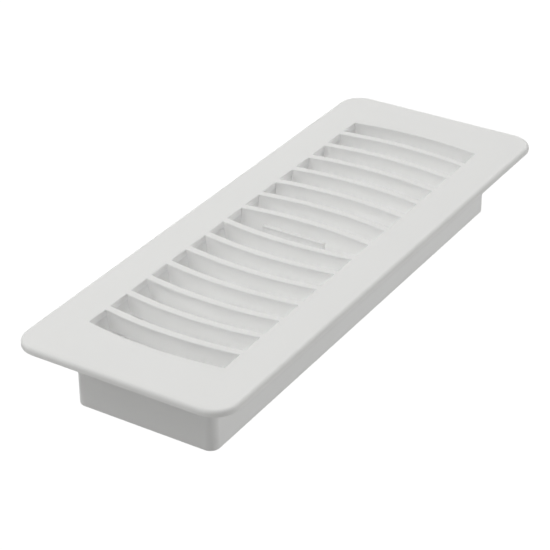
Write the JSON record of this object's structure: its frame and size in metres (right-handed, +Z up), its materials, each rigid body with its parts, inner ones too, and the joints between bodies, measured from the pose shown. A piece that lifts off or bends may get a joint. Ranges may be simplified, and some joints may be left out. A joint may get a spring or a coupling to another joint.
{
  "type": "floor register",
  "caption": "Drop-in floor register: flanged louvre face with bowed bars, rectangular neck for the duct, and a linked multi-blade damper worked by a thumb tab.",
  "frame": {"origin": "centre of the register's plan, on the plane of the neck's bottom edge", "axes": "+X along the register, +Y across it, +Z up out of the floor"},
  "size_m": [0.2852, 0.1068, 0.0355],
  "materials": {
    "face_moulding": "satin white polystyrene",
    "neck_moulding": "satin white polystyrene",
    "rail_moulding": "plain white polystyrene",
    "blade_moulding": "plain white polystyrene",
    "link_moulding": "plain white polystyrene",
    "tab_moulding": "satin white polystyrene"
  },
  "bodies": {
    "frame": {"faceplate": "face_moulding", "drop_box": "neck_moulding", "pivot_rail_left": "rail_moulding", "pivot_rail_right": "rail_moulding"},
    "blade_01": {"damper_blade_01": "blade_moulding"},
    "blade_02": {"damper_blade_02": "blade_moulding"},
    "blade_03": {"damper_blade_03": "blade_moulding"},
    "blade_04": {"damper_blade_04": "blade_moulding"},
    "blade_05": {"damper_blade_05": "blade_moulding"},
    "blade_06": {"damper_blade_06": "blade_moulding"},
    "blade_07": {"damper_blade_07": "blade_moulding"},
    "blade_08": {"damper_blade_08": "blade_moulding"},
    "blade_09": {"damper_blade_09": "blade_moulding"},
    "blade_10": {"damper_blade_10": "blade_moulding"},
    "blade_11": {"damper_blade_11": "blade_moulding"},
    "tie_bar": {"tie_bar": "link_moulding", "control_tab": "tab_moulding"}
  },
  "joints": [
    {"name": "damper_swing", "type": "hinge", "parent": "frame", "child": "blade_06", "pos_m": [0, 0, 0.012], "axis": [0, 1, 0], "range_deg": [0, 75]},
    {"name": "blade_01_swing", "type": "hinge", "parent": "frame", "child": "blade_01", "pos_m": [-0.11, 0, 0.012], "axis": [0, 1, 0], "range_deg": [0, 75]},
    {"name": "blade_02_swing", "type": "hinge", "parent": "frame", "child": "blade_02", "pos_m": [-0.088, 0, 0.012], "axis": [0, 1, 0], "range_deg": [0, 75]},
    {"name": "blade_03_swing", "type": "hinge", "parent": "frame", "child": "blade_03", "pos_m": [-0.066, 0, 0.012], "axis": [0, 1, 0], "range_deg": [0, 75]},
    {"name": "blade_04_swing", "type": "hinge", "parent": "frame", "child": "blade_04", "pos_m": [-0.044, 0, 0.012], "axis": [0, 1, 0], "range_deg": [0, 75]},
    {"name": "blade_05_swing", "type": "hinge", "parent": "frame", "child": "blade_05", "pos_m": [-0.022, 0, 0.012], "axis": [0, 1, 0], "range_deg": [0, 75]},
    {"name": "blade_07_swing", "type": "hinge", "parent": "frame", "child": "blade_07", "pos_m": [0.022, 0, 0.012], "axis": [0, 1, 0], "range_deg": [0, 75]},
    {"name": "blade_08_swing", "type": "hinge", "parent": "frame", "child": "blade_08", "pos_m": [0.044, 0, 0.012], "axis": [0, 1, 0], "range_deg": [0, 75]},
    {"name": "blade_09_swing", "type": "hinge", "parent": "frame", "child": "blade_09", "pos_m": [0.066, 0, 0.012], "axis": [0, 1, 0], "range_deg": [0, 75]},
    {"name": "blade_10_swing", "type": "hinge", "parent": "frame", "child": "blade_10", "pos_m": [0.088, 0, 0.012], "axis": [0, 1, 0], "range_deg": [0, 75]},
    {"name": "blade_11_swing", "type": "hinge", "parent": "frame", "child": "blade_11", "pos_m": [0.11, 0, 0.012], "axis": [0, 1, 0], "range_deg": [0, 75]},
    {"name": "tie_bar_pivot", "type": "hinge", "parent": "blade_06", "child": "tie_bar", "pos_m": [-0.00317, 0, 0.01613], "axis": [0, 1, 0], "range_deg": [-75, 0]}
  ],
  "couplings": [
    {"joint": "blade_01_swing", "follows": "damper_swing", "ratio": 1},
    {"joint": "blade_02_swing", "follows": "damper_swing", "ratio": 1},
    {"joint": "blade_03_swing", "follows": "damper_swing", "ratio": 1},
    {"joint": "blade_04_swing", "follows": "damper_swing", "ratio": 1},
    {"joint": "blade_05_swing", "follows": "damper_swing", "ratio": 1},
    {"joint": "blade_07_swing", "follows": "damper_swing", "ratio": 1},
    {"joint": "blade_08_swing", "follows": "damper_swing", "ratio": 1},
    {"joint": "blade_09_swing", "follows": "damper_swing", "ratio": 1},
    {"joint": "blade_10_swing", "follows": "damper_swing", "ratio": 1},
    {"joint": "blade_11_swing", "follows": "damper_swing", "ratio": 1},
    {"joint": "tie_bar_pivot", "follows": "damper_swing", "ratio": -1}
  ]
}
